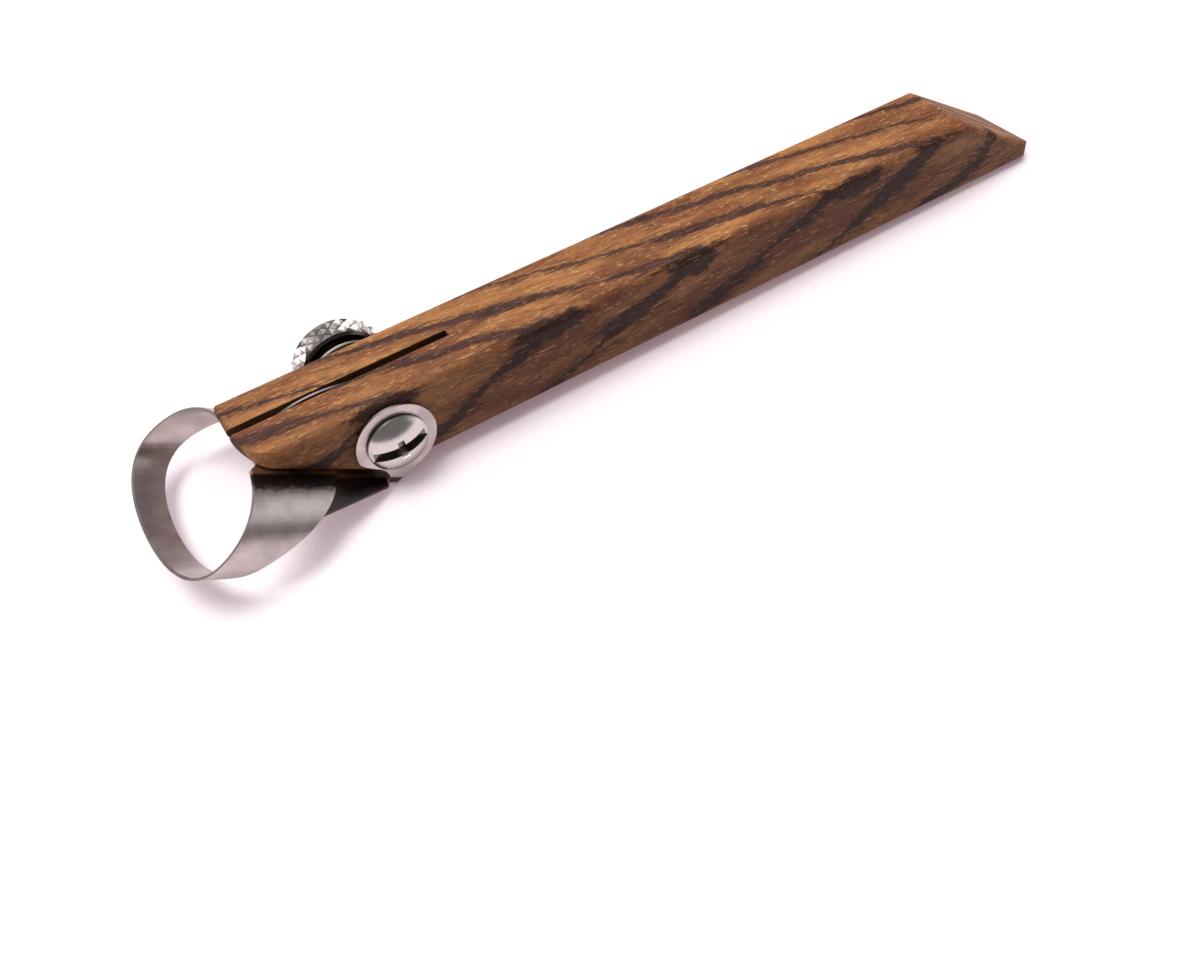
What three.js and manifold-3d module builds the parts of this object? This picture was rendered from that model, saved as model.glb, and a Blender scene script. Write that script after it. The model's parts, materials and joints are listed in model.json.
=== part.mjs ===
// Handheld clay extruder: a hardwood bar, sawn open at its nose, that clamps a bent steel
// ribbon loop with one screw and a thumb nut. The loop is drawn through clay to cut a strand.
//
// Millimetres, +Z up. The tool is drawn in the handle's own frame: X runs along the top face
// from the nose to the tail, Y from the screw head's side to the nut's side, and the origin
// lies on the top face, at the nose, in the middle of the saw kerf. The finished tool is then
// laid down on the three points that it rests on.

import * as THREE from "three";
import Module from "manifold-3d";
import { mergeVertices } from "three/addons/utils/BufferGeometryUtils.js";

// Clearances
const seatGap = 0.3; // between pieces that lie against each other
const layerGap = 0.25; // between the two layers of ribbon under the nose
const boreGap = 0.3; // round the screw in the handle, the ear and the washer
const threadGap = 0.12; // round the screw in the nut

// Handle
const handleLength = 186.4;
const handleWidth = 19.05;
const handleHeight = 16.6;
const arrisRadius = 2;
const noseThickness = 1.7;
const noseAngle = degrees(33.5); // underside facet at the nose
const noseRounding = 0.8; // of the end's top and bottom edges
const noseCornerRadius = 3;
const nearCornerReach = 8.5; // the worn corner beside the screw's head, along the handle
const nearCornerDepth = 3; // and across it
const nearCornerSetback = 1.7; // of the end, where that corner starts
const nearEndWidth = 8; // over which the end falls back to it
const nearEndGuide = [0.3, 0.7]; // shares of the setback and of that width, for the end's curve
const nearCornerGuides = [1.35, 0.6, 0.57]; // shares of the setback, the depth and the reach
const facetArris = 0.01; // where a facet's section runs past the bar
const tailThickness = 2.4;
const tailAngle = degrees(31.5); // top facet at the tail
const tailRounding = 0.9;
const tailCornerRadius = 5;
const kerfWidth = 1.7;
const kerfLength = 42.9;

// Screw
const screwFromNose = 25.6;
const screwBelowTop = 9.3;
const screwDiameter = 4.76;
const screwLength = 31.75; // under the head
const screwChamfer = 0.6;
const headDiameter = 11.7;
const headHeight = 2.7;
const headRimThickness = 0.45;
const slotLength = 11.2;
const slotWidth = 1.7;
const slotDepth = 1.3;
const slotTurn = degrees(8);
const recessSpan = 8.6; // of the cross recess, at the dome
const recessWidth = 1.6;
const recessDepth = 2.4;
const recessShoulder = 0.6; // depth at which the cross recess starts to narrow

// Washer and thumb nut
const washerDiameter = 17;
const washerThickness = 0.8;
const collarDiameter = 12;
const collarLength = 2.3;
const collarChamfer = 0.3;
const knurlDiameter = 19.1;
const knurlLength = 5.6;
const knurlChamfer = 0.5;
const knurlDepth = 0.9;
const knurlPoints = 22; // pyramids in one turn
const knurlRows = 3;

// Ribbon blade: the strip and its loop. Loop sizes are taken across the strip's middle.
const sheet = 0.5;
const loopHalfWidth = 19.65;
const loopSideDrop = 11; // from the top layer down to the widest level
const loopDrop = 19.45; // from the top layer down to the bottom of the loop
const loopFlat = 7; // half width of the flat top under the nose
const shoulderReach = 5.8; // how far each bend's curve keeps its first direction
const shoulderDip = 0.43;
const sideReachUp = 7;
const sideReachDown = 7.35;
const floorReach = 7.1;
const mouthSetback = 1.95; // from the nose to the mouth's top edge, along the facet
const lipSetback = 1.5; // how much further back the mouth's edge lies under the nose
const lipHalfWidth = 5.5;
const lipFade = 4; // the width over which the lip curves back into the mouth
const innerSetback = 2.6; // of the inner layer's edge behind the mouth
const mouthRake = degrees(30); // of the mouth against a square cut
const ribbonTopWidth = 15.7;
const ribbonFloorWidth = 5.2;
const rearTopSlope = degrees(38.3); // the rear edge's direction where it leaves the top
const rearTopReach = 14.5;
const rearFloorSlope = degrees(49.6);
const rearFloorReach = 11.4;

// Ribbon blade: the tab in the kerf
const tabBend = 1; // radius of the bend at mid sheet
const tabTop = 0.2; // below the handle's top face
const tabOffset = 0.25; // from the kerf's middle, towards the nut
const tabCrownAt = 15.9; // behind the nose
const tabCrownRadius = 30;
const tabRearAt = 22.9; // behind the nose, at the top

// Ribbon blade: the wing under the nose, the neck and the ear
const wingReach = 15.9; // towards the ear's side, at the front
const wingFrontAt = 12.75; // along the facet from the nose
const wingTipReach = 10.9;
const wingTipAt = 27.9;
const wingBulge = 0.5; // of the curve along the wing's slanted edge
const neckFront = 28.35;
const neckRear = 30;
const neckBend = 1.1;
const neckRoot = 5; // from the kerf's middle to where the neck leaves the wing
const neckHang = 0.9; // how far the neck's bend hangs below the wing
const neckStart = 3.5; // from the kerf's middle to where the neck's line starts
const neckRise = 2.5; // of the neck's line into the ear, above the inner layer
const slitWidth = 0.2; // between the wing's slanted end and the neck's front edge
const slitFoot = 7; // from the kerf's middle to the slit's end
const wingRearGuide = [21.8, 4]; // what the wing's rear edge bends towards on the far side
const earDiameter = 15.7;
const earCutAngle = degrees(189.5); // where the relief leaves the ear's round edge

// The relief's hollow curve from the ear's edge to its waist and on to the neck, from the screw
const reliefUpper = [-7.5, -2.3, -5.2, -4.1];
const reliefWaist = [-4.4, -4.75];
const reliefLower = [-3.5, -5.5, -3, -7.1];

const overrun = 1; // how far a cutting shape runs past what it cuts
const domeSteps = 8;
const arcSteps = 8;
const earSteps = 24;
const bendSteps = 24;
const roundSteps = 48;

const wasm = await Module();
wasm.setup();

function degrees(angle) {
  return THREE.MathUtils.degToRad(angle);
}

// Frames that the shapes are drawn in: two axes of the drawing, then the way it is extruded.
// Along runs down the nose facet towards the tail, and Out is square to that facet.
const Along = new THREE.Vector3(Math.cos(noseAngle), 0, -Math.sin(noseAngle));
const Out = new THREE.Vector3(Math.sin(noseAngle), 0, Math.cos(noseAngle));
const Down = new THREE.Vector3(Math.cos(tailAngle), 0, -Math.sin(tailAngle));
const TailOut = new THREE.Vector3(Math.sin(tailAngle), 0, Math.cos(tailAngle));
const X = new THREE.Vector3(1, 0, 0);
const Y = new THREE.Vector3(0, 1, 0);
const Z = new THREE.Vector3(0, 0, 1);
const planView = [X, Y, Z];
const sideView = [X, Z, Y.clone().negate()];
const endView = [Y, Z, X];
const facetSection = [Y, Out, Along];
const facetPlan = [Along, Y, Out];
const facetSide = [Along, Out, Y.clone().negate()];
const tailSection = [Y, TailOut, Down];

// An outline drawn in a frame and extruded between two distances along its third axis.
function prism(shape, frame, from, to, steps = arcSteps) {
  const outline = new THREE.Shape(distinct(shape.getPoints(steps)));
  outline.holes = shape.holes.map((hole) => new THREE.Path(distinct(hole.getPoints(steps))));
  const geometry = new THREE.ExtrudeGeometry(outline, { depth: to - from, bevelEnabled: false });
  geometry.translate(0, 0, from);
  geometry.applyMatrix4(new THREE.Matrix4().makeBasis(...frame));
  return solid(geometry);
}

// Points without those that repeat the point before them.
function distinct(points) {
  return points.filter((point, i) => point.distanceTo(points.at(i - 1)) > 1e-4);
}

function solid(geometry) {
  const bare = geometry.index ? geometry.toNonIndexed() : geometry.clone();
  bare.deleteAttribute("normal");
  bare.deleteAttribute("uv");
  const merged = mergeVertices(bare, 1e-4);
  const mesh = new wasm.Mesh({
    numProp: 3,
    vertProperties: merged.attributes.position.array,
    triVerts: new Uint32Array(merged.index.array),
  });
  return new wasm.Manifold(mesh);
}

function geometryOf(body) {
  const { vertProperties, triVerts } = body.getMesh();
  const geometry = new THREE.BufferGeometry();
  geometry.setAttribute("position", new THREE.BufferAttribute(new Float32Array(vertProperties), 3));
  geometry.setIndex(new THREE.BufferAttribute(new Uint32Array(triVerts), 1));
  geometry.computeVertexNormals();
  return geometry;
}

// A solid turned about an axis along Y. Its profile holds [radius, y] pairs, in rising y.
function turned(profile, steps = roundSteps) {
  const points = profile.map(([radius, y]) => new THREE.Vector2(radius, y));
  return solid(new THREE.LatheGeometry(points, steps));
}

function box(width, depth, height, x, y, z) {
  const geometry = new THREE.BoxGeometry(width, depth, height);
  geometry.translate(x, y, z);
  return solid(geometry);
}

function atScrew(body) {
  return body.translate([screwFromNose, 0, -screwBelowTop]);
}

// Handle

// A rectangle whose four corners have their own radii, listed from the lower left, anticlockwise.
function roundedRectangle(left, bottom, right, top, radii) {
  const [a, b, c, d] = radii;
  const half = Math.PI / 2;
  const shape = new THREE.Shape();
  shape.absarc(left + a, bottom + a, a, 2 * half, 3 * half, false);
  shape.absarc(right - b, bottom + b, b, 3 * half, 4 * half, false);
  shape.absarc(right - c, top - c, c, 0, half, false);
  shape.absarc(left + d, top - d, d, half, 2 * half, false);
  return shape;
}

const halfHandle = handleWidth / 2;
const tailDrop = handleHeight - tailThickness;
const facetEnd = (handleHeight - noseThickness) / Math.tan(noseAngle);
const tailStart = handleLength - tailDrop / Math.tan(tailAngle);
const facetLevel = -noseThickness * Math.cos(noseAngle);

// The side view: a top and an underside, joined by the rounded ends and cut by the two facets.
function sideOutline() {
  const nose = noseRounding;
  const tail = tailRounding;
  const noseMiddle = -noseThickness / 2;
  const tailMiddle = -tailDrop - tailThickness / 2;
  const side = new THREE.Shape();
  side.moveTo(nose, 0);
  side.quadraticCurveTo(0, 0, 0, noseMiddle);
  side.quadraticCurveTo(0, -noseThickness, nose * Along.x, -noseThickness + nose * Along.z);
  side.lineTo(facetEnd, -handleHeight);
  side.lineTo(handleLength - tail, -handleHeight);
  side.quadraticCurveTo(handleLength, -handleHeight, handleLength, tailMiddle);
  side.quadraticCurveTo(handleLength, -tailDrop, handleLength - tail * Down.x, -tailDrop - tail * Down.z);
  side.lineTo(tailStart, 0);
  return side;
}

// The plan: round corners, and one at the nose that is worn back along the side.
function planOutline() {
  const half = Math.PI / 2;
  const tail = tailCornerRadius;
  const nose = noseCornerRadius;
  const near = -halfHandle;
  const back = nearCornerSetback;
  const depth = nearCornerDepth;
  const plan = new THREE.Shape();
  plan.moveTo(0, near + nearEndWidth);
  const [endAlong, endAcross] = nearEndGuide;
  const [alongBack, acrossDepth, alongReach] = nearCornerGuides;
  plan.quadraticCurveTo(endAlong * back, near + endAcross * nearEndWidth, back, near + depth);
  const firstGuide = [alongBack * back, near + acrossDepth * depth];
  const lastGuide = [alongReach * nearCornerReach, near];
  plan.bezierCurveTo(...firstGuide, ...lastGuide, nearCornerReach, near);
  plan.absarc(handleLength - tail, near + tail, tail, -half, 0, false);
  plan.absarc(handleLength - tail, halfHandle - tail, tail, 0, half, false);
  plan.absarc(nose, halfHandle - nose, nose, half, 2 * half, false);
  return plan;
}

function makeHandle() {
  const side = sideOutline();
  const a = arrisRadius;
  const reach = 2 * handleLength;
  const bar = roundedRectangle(-halfHandle, -handleHeight, halfHandle, 0, [a, a, a, a]);
  const plan = planOutline();
  const b = facetArris;
  const underNose = roundedRectangle(-halfHandle, facetLevel, halfHandle, reach, [a, a, b, b]);
  const tailLevel = tailStart * Math.sin(tailAngle);
  const overTail = roundedRectangle(-halfHandle, -reach, halfHandle, tailLevel, [b, b, a, a]);
  const boreRadius = screwDiameter / 2 + boreGap;
  const bore = [
    [0, -handleWidth],
    [boreRadius, -handleWidth],
    [boreRadius, handleWidth],
    [0, handleWidth],
  ];
  return prism(side, sideView, -halfHandle, halfHandle)
    .intersect(prism(bar, endView, 0, handleLength))
    .intersect(prism(plan, planView, -handleHeight, 0))
    .intersect(prism(underNose, facetSection, -reach, reach))
    .intersect(prism(overTail, tailSection, -reach, reach))
    .subtract(box(2 * kerfLength, kerfWidth, 3 * handleHeight, 0, 0, 0))
    .subtract(atScrew(turned(bore)));
}

// Ribbon blade

const topLayer = facetLevel - seatGap - sheet / 2;
const innerLayer = topLayer - sheet - layerGap;
const sideLevel = topLayer - loopSideDrop;
const floorLevel = topLayer - loopDrop;
const earMiddle = -halfHandle - seatGap - sheet / 2;

// The points of a line moved sideways by a distance, to its right as it runs.
function moved(points, distance) {
  return points.map((point, i) => {
    const before = points[Math.max(i - 1, 0)];
    const after = points[Math.min(i + 1, points.length - 1)];
    const direction = after.clone().sub(before).normalize();
    return new THREE.Vector2(point.x + direction.y * distance, point.y - direction.x * distance);
  });
}

// The cut through a sheet that follows a line.
function sheetShape(points) {
  return new THREE.Shape([...moved(points, sheet / 2), ...moved(points, -sheet / 2).reverse()]);
}

// The bent strip seen along the facet, from the tab through the loop and back under the nose.
function stripLine() {
  const w = loopHalfWidth;
  const line = new THREE.Path();
  line.moveTo(tabOffset, topLayer + 2 * tabBend);
  line.lineTo(tabOffset, topLayer + tabBend);
  line.absarc(tabOffset - tabBend, topLayer + tabBend, tabBend, 0, -Math.PI / 2, true);
  line.lineTo(-loopFlat, topLayer);
  const shoulder = loopFlat + shoulderReach;
  line.bezierCurveTo(-shoulder, topLayer - shoulderDip, -w, sideLevel + sideReachUp, -w, sideLevel);
  line.bezierCurveTo(-w, sideLevel - sideReachDown, -floorReach, floorLevel, 0, floorLevel);
  line.bezierCurveTo(floorReach, floorLevel, w, sideLevel - sideReachDown, w, sideLevel);
  line.bezierCurveTo(w, sideLevel + sideReachUp, shoulder, topLayer - shoulderDip, loopFlat, topLayer);
  line.lineTo(tabBend, innerLayer);
  return line.curves.flatMap((curve, i) => {
    const steps = curve.isLineCurve ? 1 : curve.isCubicBezierCurve ? bendSteps : arcSteps;
    return curve.getPoints(steps).slice(i ? 1 : 0);
  });
}

// The inner layer runs on from the far side, below the near layer and parallel to it.
function innerLine(strip) {
  const layerStep = sheet + layerGap;
  const widest = strip.findIndex((point) => point.x <= -loopHalfWidth + 0.01);
  const outer = strip.slice(0, widest);
  const below = moved(outer, -layerStep).filter((p) => p.x < -tabBend && p.x > -wingReach - 1);
  return [new THREE.Vector2(loopFlat, topLayer), new THREE.Vector2(tabBend, innerLayer), ...below];
}

// The side view's outline of the loop: the raked mouth, and the rear edge that sweeps forward.
function wallOutline() {
  const rake = Math.tan(mouthRake);
  const above = tabBend + 0.2;
  const below = overrun;
  const mouthTop = new THREE.Vector2(mouthSetback + above * rake, topLayer + above);
  const mouthFloor = new THREE.Vector2(mouthSetback - loopDrop * rake, floorLevel);
  const rearTop = new THREE.Vector2(mouthSetback + ribbonTopWidth, topLayer);
  const rearFloor = mouthFloor.clone();
  rearFloor.x += ribbonFloorWidth;
  const outline = new THREE.Shape();
  outline.moveTo(mouthTop.x, mouthTop.y);
  outline.lineTo(mouthFloor.x - below * rake, floorLevel - below);
  outline.lineTo(rearFloor.x - below, floorLevel - below);
  outline.lineTo(rearFloor.x, rearFloor.y);
  outline.bezierCurveTo(
    rearFloor.x + rearFloorReach * Math.cos(rearFloorSlope),
    rearFloor.y + rearFloorReach * Math.sin(rearFloorSlope),
    rearTop.x - rearTopReach * Math.cos(rearTopSlope),
    rearTop.y - rearTopReach * Math.sin(rearTopSlope),
    rearTop.x,
    rearTop.y,
  );
  outline.lineTo(rearTop.x + above, mouthTop.y);
  return outline;
}

// What the lip loses, seen square to the facet: the mouth's edge steps back under the nose.
function lipOutline() {
  const front = mouthSetback - 2 * lipSetback;
  const back = mouthSetback + lipSetback;
  const wide = lipHalfWidth + lipFade;
  const middle = lipHalfWidth + lipFade / 2;
  const outline = new THREE.Shape();
  outline.moveTo(front, wide);
  outline.lineTo(front, -wide);
  outline.lineTo(mouthSetback - lipSetback, -wide);
  outline.bezierCurveTo(mouthSetback, -middle, back, -middle, back, -lipHalfWidth);
  outline.lineTo(back, lipHalfWidth);
  outline.bezierCurveTo(back, middle, mouthSetback, middle, mouthSetback - lipSetback, wide);
  return outline;
}

// The tab stands in the kerf: a low crown on top and a straight rear edge.
function tabOutline() {
  const foot = topLayer + tabBend;
  const crownZ = -tabTop - tabCrownRadius;
  const outline = new THREE.Shape();
  const rearTopZ = crownZ + Math.sqrt(tabCrownRadius ** 2 - (tabRearAt - tabCrownAt) ** 2);
  const frontX = crownCrossing(foot);
  const startAngle = Math.acos((frontX - tabCrownAt) / tabCrownRadius);
  const endAngle = Math.atan2(rearTopZ - crownZ, tabRearAt - tabCrownAt);
  const rear = onFacet(mouthSetback + ribbonTopWidth, foot);
  outline.absarc(tabCrownAt, crownZ, tabCrownRadius, startAngle, endAngle, true);
  outline.lineTo(rear.x, rear.y);
  return outline;
}

// Where a distance along the facet and a level square to it lie in the side view.
function onFacet(along, level) {
  const point = Along.clone().multiplyScalar(along).addScaledVector(Out, level);
  return new THREE.Vector2(point.x, point.z);
}

// Where the tab's crown runs down into a level of the facet.
function crownCrossing(level) {
  const crown = new THREE.Vector2(tabCrownAt, -tabTop - tabCrownRadius);
  const distance = level - (crown.x * Out.x + crown.y * Out.z);
  const half = Math.sqrt(tabCrownRadius ** 2 - distance ** 2);
  return crown.x + Out.x * distance - Along.x * half;
}

// The wing seen square to the facet: its slanted end, the slit beside the neck and its rear edge.
function wingOutline() {
  const inside = ribbonTopWidth / 2;
  const outline = new THREE.Shape();
  outline.moveTo(inside, loopFlat + overrun);
  outline.lineTo(inside, -wingReach - overrun);
  outline.lineTo(wingFrontAt - overrun, -wingReach - overrun);
  outline.lineTo(wingFrontAt, -wingReach);
  const bulgeAt = (wingFrontAt + wingTipAt) / 2;
  outline.quadraticCurveTo(bulgeAt, -(wingReach + wingTipReach) / 2 - wingBulge, wingTipAt, -wingTipReach);
  outline.lineTo(neckFront - slitWidth, -slitFoot);
  outline.lineTo(neckRear, -neckRoot - 1);
  outline.lineTo(neckRear, -neckRoot + 1);
  const rear = [mouthSetback + ribbonTopWidth, loopFlat + overrun];
  outline.bezierCurveTo(neckRear - 1, 0, ...wingRearGuide, ...rear);
  return outline;
}

// The neck seen along the facet: out from the wing, round its bend and up to the ear.
function neckLine() {
  const low = innerLayer - neckHang;
  const line = new THREE.Path();
  line.moveTo(-neckStart, innerLayer);
  line.bezierCurveTo(-neckRoot - 1, innerLayer, -neckRoot - 1.5, low, earMiddle + neckBend, low);
  line.absarc(earMiddle + neckBend, low + neckBend, neckBend, -Math.PI / 2, -Math.PI, true);
  line.lineTo(earMiddle, innerLayer + neckRise);
  return line.curves.flatMap((curve, i) => {
    const steps = curve.isLineCurve ? 1 : arcSteps;
    return curve.getPoints(steps).slice(i ? 1 : 0);
  });
}

// The ear round the screw. Its front edge runs down into the neck in a long hollow curve.
function earOutline() {
  const radius = earDiameter / 2;
  const screw = new THREE.Vector2(screwFromNose, -screwBelowTop);
  const bendLevel = innerLayer - neckHang + neckBend;
  const front = onFacet(neckFront, bendLevel);
  const rear = onFacet(neckRear, bendLevel);
  const fromRear = rear.clone().sub(screw);
  const tangent = fromRear.angle() + Math.acos(radius / fromRear.length());
  const { x, y } = screw;
  const fromScrew = (offsets) => offsets.map((offset, i) => offset + (i % 2 ? y : x));
  const outline = new THREE.Shape();
  outline.absarc(x, y, radius, tangent, earCutAngle, false);
  outline.bezierCurveTo(...fromScrew(reliefUpper), ...fromScrew(reliefWaist));
  outline.bezierCurveTo(...fromScrew(reliefLower), front.x, front.y);
  outline.lineTo(rear.x, rear.y);
  const hole = new THREE.Path();
  hole.absarc(x, y, screwDiameter / 2 + boreGap, 0, 2 * Math.PI, true);
  outline.holes.push(hole);
  return outline;
}

function makeBlade() {
  const strip = stripLine();
  const ahead = -ribbonTopWidth - loopDrop;
  const behind = neckRear + ribbonTopWidth;
  const walls = prism(wallOutline(), facetSide, -2 * loopHalfWidth, 2 * loopHalfWidth);
  const lip = prism(lipOutline(), facetPlan, topLayer - lipFade, topLayer + lipFade);
  const loop = prism(sheetShape(strip), facetSection, ahead, behind).intersect(walls.subtract(lip));
  const tab = prism(tabOutline(), sideView, -tabOffset - sheet / 2, -tabOffset + sheet / 2);
  const inner = prism(sheetShape(innerLine(strip)), facetSection, ahead, behind);
  const innerWalls = walls.intersect(walls.translate(Along.clone().multiplyScalar(innerSetback).toArray()));
  const wing = prism(wingOutline(), facetPlan, floorLevel, topLayer + 1);
  const neck = prism(sheetShape(neckLine()), facetSection, neckFront, neckRear);
  const ear = prism(earOutline(), sideView, -earMiddle - sheet / 2, -earMiddle + sheet / 2, earSteps);
  return loop.add(tab).add(inner.intersect(innerWalls.add(wing))).add(neck).add(ear);
}

// Clamp screw

const headSeat = earMiddle - sheet / 2 - seatGap;

function makeScrew() {
  const radius = headDiameter / 2;
  const crown = headHeight - headRimThickness;
  const domeRadius = (radius ** 2 + crown ** 2) / (2 * crown);
  const dome = [];
  for (let i = 0; i < domeSteps; i += 1) {
    const angle = (Math.asin(radius / domeRadius) * i) / domeSteps;
    dome.push([domeRadius * Math.sin(angle), headSeat - headHeight + domeRadius * (1 - Math.cos(angle))]);
  }
  const end = headSeat + screwLength;
  const shank = screwDiameter / 2;
  const body = turned([
    ...dome,
    [radius, headSeat - headRimThickness],
    [radius, headSeat],
    [shank, headSeat],
    [shank, end - screwChamfer],
    [shank - screwChamfer, end],
    [0, end],
  ]);
  const crownY = headSeat - headHeight;
  const slot = box(slotLength, 2 * slotDepth, slotWidth, 0, crownY, 0);
  const arm = new THREE.Shape();
  arm.moveTo(-recessSpan / 2, -overrun);
  arm.lineTo(recessSpan / 2, -overrun);
  arm.lineTo(recessSpan / 2, recessShoulder);
  arm.lineTo(recessWidth / 2, recessDepth);
  arm.lineTo(-recessWidth / 2, recessDepth);
  arm.lineTo(-recessSpan / 2, recessShoulder);
  const along = prism(arm, [X, Y, Z], -recessWidth / 2, recessWidth / 2).translate([0, crownY, 0]);
  const across = along.rotate([0, 90, 0]);
  const turn = THREE.MathUtils.radToDeg(-slotTurn);
  return atScrew(body.subtract(slot.add(along).add(across).rotate([0, turn, 0])));
}

// Washer

const washerSeat = halfHandle + seatGap;

function makeWasher() {
  const hole = screwDiameter / 2 + boreGap;
  const rim = washerDiameter / 2;
  return atScrew(
    turned([
      [hole, washerSeat],
      [rim, washerSeat],
      [rim, washerSeat + washerThickness],
      [hole, washerSeat + washerThickness],
      [hole, washerSeat],
    ]),
  );
}

// Thumb nut

const nutSeat = washerSeat + washerThickness + seatGap;

// The knurl is a grid wrapped round the rim. Its corners stand out and lie low by turns, and each
// cell folds along the line between its two low corners, which makes rows of pyramids.
function makeKnurl() {
  const around = 2 * knurlPoints;
  const rows = knurlRows + 1;
  const crest = knurlDiameter / 2;
  const root = crest - knurlDepth;
  const start = nutSeat + collarLength;
  const inner = (root + screwDiameter / 2) / 2;
  const rings = [];
  rings.push({ y: start, radius: () => inner });
  rings.push({ y: start, radius: () => root - knurlChamfer });
  for (let row = 0; row <= rows; row += 1) {
    const y = start + knurlChamfer + ((knurlLength - 2 * knurlChamfer) * row) / rows;
    const inside = row > 0 && row < rows;
    rings.push({ y, radius: (i) => (inside && (i + row) % 2 ? crest : root), row });
  }
  rings.push({ y: start + knurlLength, radius: () => root - knurlChamfer });
  rings.push({ y: start + knurlLength, radius: () => inner });
  const positions = [];
  rings.forEach(({ y, radius }) => {
    for (let i = 0; i < around; i += 1) {
      const angle = (2 * Math.PI * i) / around;
      positions.push(radius(i) * Math.sin(angle), y, radius(i) * Math.cos(angle));
    }
  });
  const index = [];
  rings.forEach((ring, j) => {
    const above = (j + 1) % rings.length;
    for (let i = 0; i < around; i += 1) {
      const next = (i + 1) % around;
      const a = j * around + i;
      const b = j * around + next;
      const c = above * around + next;
      const d = above * around + i;
      const lowCornersAtAC = ring.row === undefined || (i + ring.row) % 2 === 0;
      if (lowCornersAtAC) {
        index.push(a, b, c, a, c, d);
      } else {
        index.push(a, b, d, b, c, d);
      }
    }
  });
  const geometry = new THREE.BufferGeometry();
  geometry.setAttribute("position", new THREE.Float32BufferAttribute(positions, 3));
  geometry.setIndex(index);
  return solid(geometry);
}

function makeNut() {
  const hole = screwDiameter / 2 + threadGap;
  const collar = collarDiameter / 2;
  const end = nutSeat + collarLength + knurlLength;
  const hub = turned([
    [hole, nutSeat],
    [collar - collarChamfer, nutSeat],
    [collar, nutSeat + collarChamfer],
    [collar, end],
    [hole, end],
    [hole, nutSeat],
  ]);
  return atScrew(hub.add(makeKnurl()));
}

// Assembly

function piece(name, body, color, roughness, metalness) {
  const material = new THREE.MeshStandardMaterial({ color, roughness, metalness });
  const mesh = new THREE.Mesh(geometryOf(body), material);
  mesh.name = name;
  return mesh;
}

const tool = new THREE.Group();
tool.add(
  piece("handle", makeHandle(), 0x9c6a42, 0.55, 0),
  piece("ribbon_blade", makeBlade(), 0xa8a098, 0.35, 1),
  piece("clamp_screw", makeScrew(), 0xc9c9c6, 0.2, 1),
  piece("washer", makeWasher(), 0xb5b3ae, 0.3, 1),
  piece("thumb_nut", makeNut(), 0xc4bdb0, 0.25, 1),
);

// The tool rests on the neck's bend, the nut's rim and the handle's tail.
function restingNormal() {
  const low = onFacet(neckRear, innerLayer - neckHang - sheet / 2);
  const neck = new THREE.Vector3(low.x, earMiddle + neckBend, low.y);
  const rimMiddle = nutSeat + collarLength + knurlLength / 2;
  const rim = new THREE.Vector3(screwFromNose, rimMiddle, -screwBelowTop - knurlDiameter / 2);
  const heel = new THREE.Vector3(handleLength - 1, halfHandle - arrisRadius - 1, -handleHeight);
  return heel.sub(neck).cross(rim.sub(neck)).normalize();
}

tool.quaternion.setFromUnitVectors(restingNormal(), Z);

// The origin lies under the middle of the resting tool.
const extruder = new THREE.Group();
extruder.add(tool);
extruder.updateMatrixWorld(true);
const bounds = new THREE.Box3().setFromObject(extruder, true);
const middle = bounds.getCenter(new THREE.Vector3());
tool.position.set(-middle.x, -middle.y, -bounds.min.z);

export default extruder;
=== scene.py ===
"""Looks of a handheld clay extruder: a hardwood handle, a steel ribbon loop and its clamp."""

import json
import math

import bmesh
import bpy
from mathutils import Matrix, Vector

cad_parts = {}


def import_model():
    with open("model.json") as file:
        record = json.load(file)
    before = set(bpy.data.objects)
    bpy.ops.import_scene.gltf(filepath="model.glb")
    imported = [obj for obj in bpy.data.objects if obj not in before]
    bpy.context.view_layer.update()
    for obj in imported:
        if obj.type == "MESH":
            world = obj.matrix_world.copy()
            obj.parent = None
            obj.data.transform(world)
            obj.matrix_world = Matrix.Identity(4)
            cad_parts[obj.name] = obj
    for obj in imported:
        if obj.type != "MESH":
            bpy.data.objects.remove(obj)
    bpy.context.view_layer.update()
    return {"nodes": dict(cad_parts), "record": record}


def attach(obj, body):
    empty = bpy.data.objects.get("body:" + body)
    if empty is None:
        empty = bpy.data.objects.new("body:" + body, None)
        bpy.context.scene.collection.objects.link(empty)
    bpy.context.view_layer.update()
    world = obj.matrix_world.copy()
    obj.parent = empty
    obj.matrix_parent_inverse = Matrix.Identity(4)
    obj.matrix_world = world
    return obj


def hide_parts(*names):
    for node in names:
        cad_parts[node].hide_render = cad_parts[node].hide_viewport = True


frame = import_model()

MM = 0.001

# The tool's own frame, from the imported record: X runs along the handle's top face from the nose, Y towards
# the nut and Z out of the top face, with the origin at the nose's top edge.
SCREW_FROM_NOSE = 25.6 * MM
SCREW_BELOW_TOP = 9.3 * MM
joints = {joint["name"]: joint for joint in frame["record"]["behaviour"]["joints"]}
mounts = {mount["name"]: mount for mount in frame["record"]["mounts"]}
tool_y = Vector(joints["nut_spin"]["axis"])
tool_z = Vector(mounts["handle_top"]["axis"])
tool_x = tool_y.cross(tool_z)
nose = Vector(joints["blade_swing"]["pos_m"]) - SCREW_FROM_NOSE * tool_x + SCREW_BELOW_TOP * tool_z
AXES = Matrix((tool_x, tool_y, tool_z)).transposed()
TOOL = Matrix.Translation(nose) @ AXES.to_4x4()

# Camera, in the tool's frame
CAMERA_AT = Vector((-8.2, -156.0, 130.7)) * MM
CAMERA_RIGHT = Vector((0.842, -0.533, -0.091))
CAMERA_LOOK = Vector((0.305, 0.607, -0.734))
FOCAL_PIXELS = 1121
PHOTO_WIDTH = 1200
SENSOR = 36.0
NEAREST_SEEN = 5.0 * MM


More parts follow.
